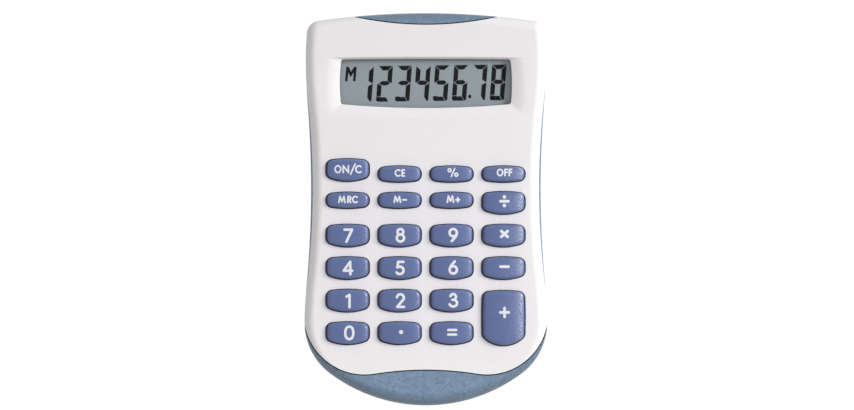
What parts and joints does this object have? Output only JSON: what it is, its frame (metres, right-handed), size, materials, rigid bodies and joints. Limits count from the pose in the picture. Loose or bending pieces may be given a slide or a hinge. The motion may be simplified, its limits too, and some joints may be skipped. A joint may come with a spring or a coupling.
{
  "type": "pocket calculator",
  "caption": "Pocket calculator with a waisted white and blue case, a recessed liquid-crystal display, domed push keys on a rubber keypad and a sliding battery door.",
  "frame": {"origin": "Under the middle of the case, on the plane that it lies on.", "axes": "+Z out of the key face, +Y towards the display end, +X to the right as the display is read."},
  "size_m": [0.0742, 0.12, 0.0143],
  "materials": {
    "white_plastic": "fine spark-eroded satin",
    "blue_plastic": "fine spark-eroded satin",
    "key_plastic": "satin with a soft sheen",
    "clear_plastic": "clear and polished",
    "black_tape": "matt",
    "polariser_film": "smooth grey film",
    "display_glass": "clear",
    "seal_resin": "matt",
    "reflector_film": "silvered grey",
    "grey_foam": "closed-cell foam",
    "black_plastic": "matt",
    "grey_rubber": "striped rubber",
    "board_laminate": "paper laminate with solder mask",
    "printed_carbon": "printed carbon",
    "black_resin": "cured resin",
    "ceramic": "ceramic body with tinned ends",
    "keypad_rubber": "silicone rubber",
    "plated_steel": "nickel plated",
    "dark_steel": "blackened",
    "cell_steel": "bright nickel plated",
    "white_print": "printed key legends, satin ink",
    "display_print": "dark segments of the display"
  },
  "bodies": {
    "case": {"front_cover": "white_plastic", "rear_cover": "blue_plastic", "display_window": "clear_plastic", "window_adhesive": "black_tape", "lcd_front_polariser": "polariser_film", "lcd_front_glass": "display_glass", "lcd_seal": "seal_resin", "lcd_rear_glass": "display_glass", "lcd_reflector": "reflector_film", "lcd_cushion": "grey_foam", "lcd_holder": "black_plastic", "zebra_strip": "grey_rubber", "circuit_board": "board_laminate", "key_contacts": "printed_carbon", "chip_blob": "black_resin", "chip_capacitors": "ceramic", "chip_resistors": "black_resin", "rubber_keypad": "keypad_rubber", "board_screws": "plated_steel", "case_screws": "dark_steel", "button_cell": "cell_steel", "cell_contact_negative": "plated_steel", "cell_contact_positive": "plated_steel"},
    "door": {"battery_door": "blue_plastic"},
    "cap_clear_entry": {"key_clear_entry": "key_plastic"},
    "cap_percent": {"key_percent": "key_plastic"},
    "cap_off": {"key_off": "key_plastic"},
    "cap_on_clear": {"key_on_clear": "key_plastic"},
    "cap_memory_recall": {"key_memory_recall": "key_plastic"},
    "cap_memory_minus": {"key_memory_minus": "key_plastic"},
    "cap_memory_plus": {"key_memory_plus": "key_plastic"},
    "cap_divide": {"key_divide": "key_plastic"},
    "cap_7": {"key_7": "key_plastic"},
    "cap_8": {"key_8": "key_plastic"},
    "cap_9": {"key_9": "key_plastic"},
    "cap_multiply": {"key_multiply": "key_plastic"},
    "cap_4": {"key_4": "key_plastic"},
    "cap_5": {"key_5": "key_plastic"},
    "cap_6": {"key_6": "key_plastic"},
    "cap_minus": {"key_minus": "key_plastic"},
    "cap_1": {"key_1": "key_plastic"},
    "cap_2": {"key_2": "key_plastic"},
    "cap_3": {"key_3": "key_plastic"},
    "cap_plus": {"key_plus": "key_plastic"},
    "cap_0": {"key_0": "key_plastic"},
    "cap_decimal_point": {"key_decimal_point": "key_plastic"},
    "cap_equals": {"key_equals": "key_plastic"}
  },
  "joints": [
    {"name": "press_clear_entry", "type": "slide", "parent": "case", "child": "cap_clear_entry", "axis": [0, 0, -1], "range_m": [0, 0.001], "stiffness_N_per_m": 700, "springref_m": -0.0005, "deforming": ["rubber_keypad"]},
    {"name": "press_percent", "type": "slide", "parent": "case", "child": "cap_percent", "axis": [0, 0, -1], "range_m": [0, 0.001], "stiffness_N_per_m": 700, "springref_m": -0.0005, "deforming": ["rubber_keypad"]},
    {"name": "press_off", "type": "slide", "parent": "case", "child": "cap_off", "axis": [0, 0, -1], "range_m": [0, 0.001], "stiffness_N_per_m": 700, "springref_m": -0.0005, "deforming": ["rubber_keypad"]},
    {"name": "press_on_clear", "type": "slide", "parent": "case", "child": "cap_on_clear", "axis": [0, 0, -1], "range_m": [0, 0.001], "stiffness_N_per_m": 700, "springref_m": -0.0005, "deforming": ["rubber_keypad"]},
    {"name": "press_memory_recall", "type": "slide", "parent": "case", "child": "cap_memory_recall", "axis": [0, 0, -1], "range_m": [0, 0.001], "stiffness_N_per_m": 700, "springref_m": -0.0005, "deforming": ["rubber_keypad"]},
    {"name": "press_memory_minus", "type": "slide", "parent": "case", "child": "cap_memory_minus", "axis": [0, 0, -1], "range_m": [0, 0.001], "stiffness_N_per_m": 700, "springref_m": -0.0005, "deforming": ["rubber_keypad"]},
    {"name": "press_memory_plus", "type": "slide", "parent": "case", "child": "cap_memory_plus", "axis": [0, 0, -1], "range_m": [0, 0.001], "stiffness_N_per_m": 700, "springref_m": -0.0005, "deforming": ["rubber_keypad"]},
    {"name": "press_divide", "type": "slide", "parent": "case", "child": "cap_divide", "axis": [0, 0, -1], "range_m": [0, 0.001], "stiffness_N_per_m": 700, "springref_m": -0.0005, "deforming": ["rubber_keypad"]},
    {"name": "press_7", "type": "slide", "parent": "case", "child": "cap_7", "axis": [0, 0, -1], "range_m": [0, 0.001], "stiffness_N_per_m": 700, "springref_m": -0.0005, "deforming": ["rubber_keypad"]},
    {"name": "press_8", "type": "slide", "parent": "case", "child": "cap_8", "axis": [0, 0, -1], "range_m": [0, 0.001], "stiffness_N_per_m": 700, "springref_m": -0.0005, "deforming": ["rubber_keypad"]},
    {"name": "press_9", "type": "slide", "parent": "case", "child": "cap_9", "axis": [0, 0, -1], "range_m": [0, 0.001], "stiffness_N_per_m": 700, "springref_m": -0.0005, "deforming": ["rubber_keypad"]},
    {"name": "press_multiply", "type": "slide", "parent": "case", "child": "cap_multiply", "axis": [0, 0, -1], "range_m": [0, 0.001], "stiffness_N_per_m": 700, "springref_m": -0.0005, "deforming": ["rubber_keypad"]},
    {"name": "press_4", "type": "slide", "parent": "case", "child": "cap_4", "axis": [0, 0, -1], "range_m": [0, 0.001], "stiffness_N_per_m": 700, "springref_m": -0.0005, "deforming": ["rubber_keypad"]},
    {"name": "press_5", "type": "slide", "parent": "case", "child": "cap_5", "axis": [0, 0, -1], "range_m": [0, 0.001], "stiffness_N_per_m": 700, "springref_m": -0.0005, "deforming": ["rubber_keypad"]},
    {"name": "press_6", "type": "slide", "parent": "case", "child": "cap_6", "axis": [0, 0, -1], "range_m": [0, 0.001], "stiffness_N_per_m": 700, "springref_m": -0.0005, "deforming": ["rubber_keypad"]},
    {"name": "press_minus", "type": "slide", "parent": "case", "child": "cap_minus", "axis": [0, 0, -1], "range_m": [0, 0.001], "stiffness_N_per_m": 700, "springref_m": -0.0005, "deforming": ["rubber_keypad"]},
    {"name": "press_1", "type": "slide", "parent": "case", "child": "cap_1", "axis": [0, 0, -1], "range_m": [0, 0.001], "stiffness_N_per_m": 700, "springref_m": -0.0005, "deforming": ["rubber_keypad"]},
    {"name": "press_2", "type": "slide", "parent": "case", "child": "cap_2", "axis": [0, 0, -1], "range_m": [0, 0.001], "stiffness_N_per_m": 700, "springref_m": -0.0005, "deforming": ["rubber_keypad"]},
    {"name": "press_3", "type": "slide", "parent": "case", "child": "cap_3", "axis": [0, 0, -1], "range_m": [0, 0.001], "stiffness_N_per_m": 700, "springref_m": -0.0005, "deforming": ["rubber_keypad"]},
    {"name": "press_plus", "type": "slide", "parent": "case", "child": "cap_plus", "axis": [0, 0, -1], "range_m": [0, 0.001], "stiffness_N_per_m": 700, "springref_m": -0.0005, "deforming": ["rubber_keypad"]},
    {"name": "press_0", "type": "slide", "parent": "case", "child": "cap_0", "axis": [0, 0, -1], "range_m": [0, 0.001], "stiffness_N_per_m": 700, "springref_m": -0.0005, "deforming": ["rubber_keypad"]},
    {"name": "press_decimal_point", "type": "slide", "parent": "case", "child": "cap_decimal_point", "axis": [0, 0, -1], "range_m": [0, 0.001], "stiffness_N_per_m": 700, "springref_m": -0.0005, "deforming": ["rubber_keypad"]},
    {"name": "press_equals", "type": "slide", "parent": "case", "child": "cap_equals", "axis": [0, 0, -1], "range_m": [0, 0.001], "stiffness_N_per_m": 700, "springref_m": -0.0005, "deforming": ["rubber_keypad"]},
    {"name": "door_slide", "type": "slide", "parent": "case", "child": "door", "axis": [0, 1, 0], "range_m": [0, 0.027]}
  ]
}
